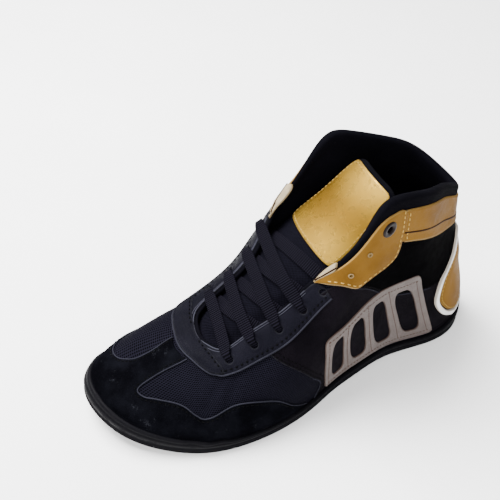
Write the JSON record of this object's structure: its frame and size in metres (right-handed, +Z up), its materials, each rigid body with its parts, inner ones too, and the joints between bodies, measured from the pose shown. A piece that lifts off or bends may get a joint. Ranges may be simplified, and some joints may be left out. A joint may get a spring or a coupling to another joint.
{
  "type": "wrestling shoe",
  "caption": "Left ankle-high wrestling shoe with a thin cupped rubber sole, mesh and suede upper, gold ankle flaps and a flat lace across the tongue.",
  "frame": {"origin": "centre of the shoe's bounding box, at the floor it stands on", "axes": "+X towards the toe, +Y towards the lateral side, +Z up"},
  "size_m": [0.2838, 0.1034, 0.156],
  "materials": {
    "outsole_rubber": "matt black",
    "insole_cloth": "black cloth",
    "upper_mesh": "black mesh",
    "tongue_mesh": "black mesh, padded",
    "gold_leather": "gold satin",
    "black_leather": "black satin",
    "black_suede": "black suede",
    "white_piping": "white satin",
    "silver_leather": "silver satin",
    "black_metal": "black gloss",
    "lace": "black flat woven"
  },
  "bodies": {
    "root": {"outsole": "outsole_rubber", "insole": "insole_cloth", "upper": "upper_mesh", "tongue": "tongue_mesh", "tongue_label": "gold_leather", "eyestay": "black_leather", "toe_wrap": "black_suede", "flap_lateral": "gold_leather", "flap_medial": "gold_leather", "collar_band": "gold_leather", "heel_overlay": "gold_leather", "heel_piping": "white_piping", "cage_lateral": "silver_leather", "cage_medial": "silver_leather", "grommet_lateral": "black_metal", "grommet_medial": "black_metal", "lace_crossing_1": "lace", "lace_crossing_2": "lace", "lace_crossing_3": "lace", "lace_crossing_4": "lace"}
  },
  "joints": []
}
